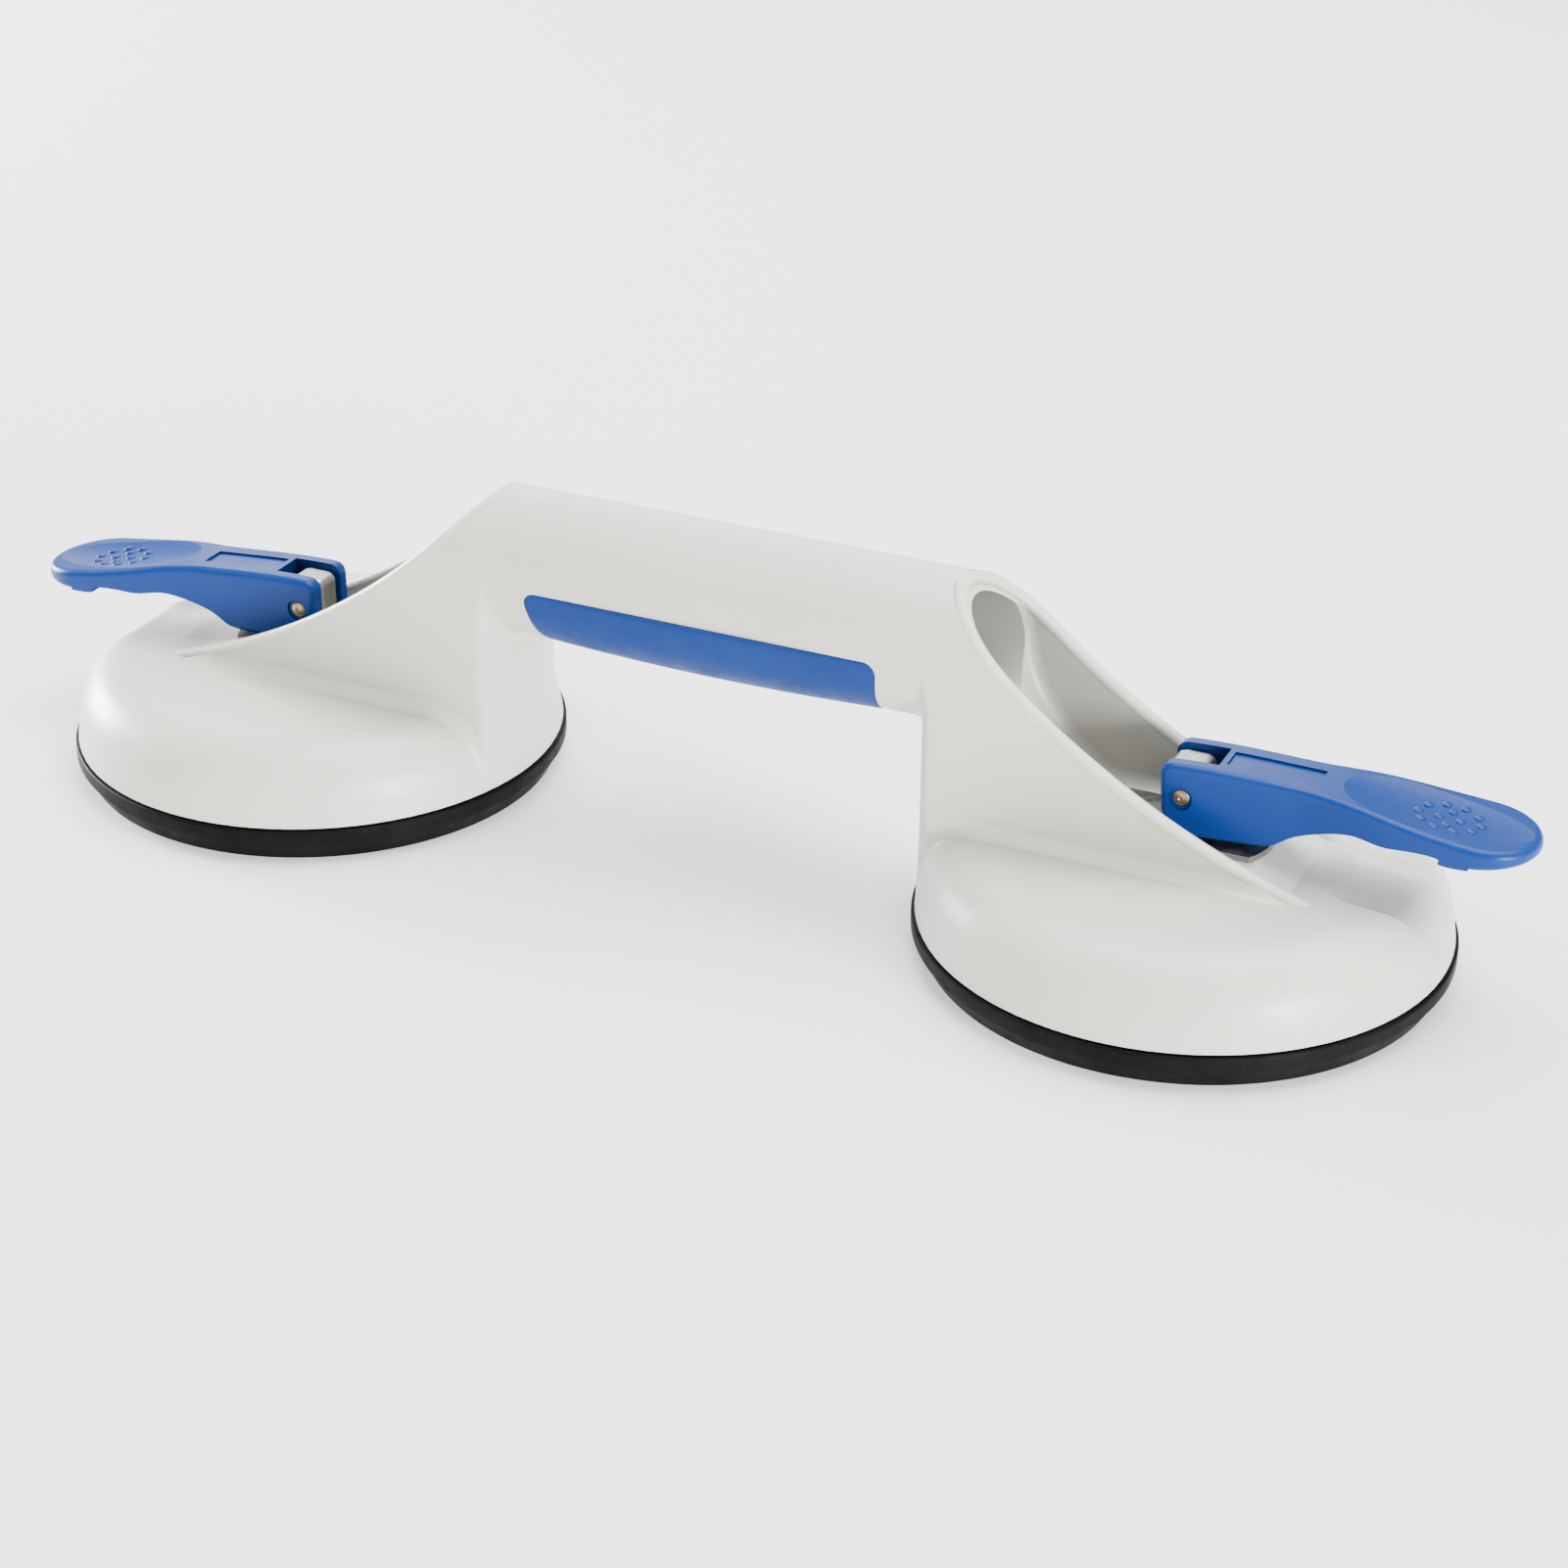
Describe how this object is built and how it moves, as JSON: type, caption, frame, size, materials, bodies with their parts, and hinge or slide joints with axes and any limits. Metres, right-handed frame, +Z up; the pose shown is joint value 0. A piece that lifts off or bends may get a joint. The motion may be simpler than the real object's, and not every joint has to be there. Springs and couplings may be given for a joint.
{
  "type": "suction lifter",
  "caption": "Hand-held vacuum lifter: two rubber suction cups joined by a hollow grip handle, each clamped by a folding cam lever.",
  "frame": {"origin": "on the work surface, midway between the two cups", "axes": "+X from the left cup to the right cup along the handle, +Z up, away from the work surface"},
  "size_m": [0.3761, 0.1204, 0.0796],
  "materials": {
    "housing_plastic": "satin off-white moulded plastic",
    "grip_rubber": "matt blue soft-touch rubber",
    "lever_plastic": "satin blue moulded plastic",
    "pad_rubber": "matt black rubber",
    "plated_steel": "dull zinc plating",
    "wear_steel": "plain pressed sheet",
    "pin_steel": "plain turned pin",
    "spring_steel": "drawn wire",
    "bush_plastic": "natural acetal"
  },
  "bodies": {
    "housing": {"housing": "housing_plastic", "grip_inlay": "grip_rubber", "left_wear_plate": "wear_steel", "left_guide_bush": "bush_plastic", "left_return_spring": "spring_steel", "right_wear_plate": "wear_steel", "right_guide_bush": "bush_plastic", "right_return_spring": "spring_steel"},
    "left_stud": {"left_pull_stud": "plated_steel", "left_stud_nut": "plated_steel", "left_backing_plate": "plated_steel", "left_suction_pad": "pad_rubber", "left_spring_seat": "plated_steel"},
    "left_lever": {"left_cam_lever": "lever_plastic", "left_pivot_pin": "pin_steel"},
    "right_stud": {"right_pull_stud": "plated_steel", "right_stud_nut": "plated_steel", "right_backing_plate": "plated_steel", "right_suction_pad": "pad_rubber", "right_spring_seat": "plated_steel"},
    "right_lever": {"right_cam_lever": "lever_plastic", "right_pivot_pin": "pin_steel"}
  },
  "joints": [
    {"name": "left_stud_slide", "type": "slide", "parent": "housing", "child": "left_stud", "axis": [0, 0, 1], "range_m": [-0.0044, 0], "deforming": ["left_return_spring"]},
    {"name": "left_lever_hinge", "type": "hinge", "parent": "left_stud", "child": "left_lever", "pos_m": [-0.112, 0, 0.0407], "axis": [0, 1, 0], "range_deg": [0, 90]},
    {"name": "right_stud_slide", "type": "slide", "parent": "housing", "child": "right_stud", "axis": [0, 0, 1], "range_m": [-0.00418, 0.00022], "deforming": ["right_return_spring"]},
    {"name": "right_lever_hinge", "type": "hinge", "parent": "right_stud", "child": "right_lever", "pos_m": [0.112, 0, 0.0407], "axis": [0, -1, 0], "range_deg": [-4.5, 85.5]}
  ],
  "couplings": [
    {"joint": "left_lever_hinge", "follows": "left_stud_slide", "rad_per_m": -357.14},
    {"joint": "right_lever_hinge", "follows": "right_stud_slide", "rad_per_m": -357.14}
  ]
}
